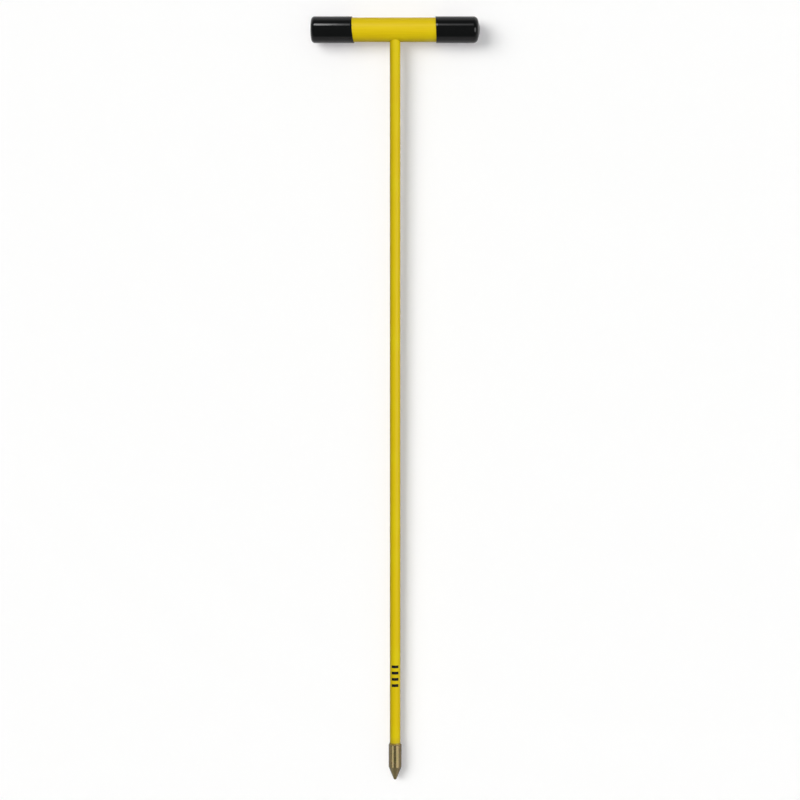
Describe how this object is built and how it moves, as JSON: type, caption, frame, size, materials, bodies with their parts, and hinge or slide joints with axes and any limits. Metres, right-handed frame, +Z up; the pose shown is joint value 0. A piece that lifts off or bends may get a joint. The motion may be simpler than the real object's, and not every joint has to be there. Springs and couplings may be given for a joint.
{
  "type": "utility probe",
  "caption": "T-handled probing rod: solid fibreglass rod with a turned steel point and a fibreglass cross handle with dipped end caps, for feeling for buried pipes and cables.",
  "frame": {"origin": "on the ground under the middle of the tool's outline, as it lies on its two end caps and the lower corner of its point's barrel", "axes": "+X along the handle to the right-hand cap, +Y from the point up to the handle, +Z up from the ground; the rod slopes down to the point by 0.51 degrees"},
  "size_m": [0.2032, 0.9158, 0.0313],
  "materials": {
    "yellow_fibreglass": "satin",
    "black_vinyl": "gloss",
    "plated_steel": "satin",
    "cured_epoxy": "satin",
    "grey_foam": "matte"
  },
  "bodies": {
    "root": {"handle_tube": "yellow_fibreglass", "left_end_cap": "black_vinyl", "right_end_cap": "black_vinyl", "probe_rod": "yellow_fibreglass", "handle_epoxy": "cured_epoxy", "left_foam_dam": "grey_foam", "right_foam_dam": "grey_foam", "steel_point": "plated_steel", "point_epoxy": "cured_epoxy"}
  },
  "joints": []
}
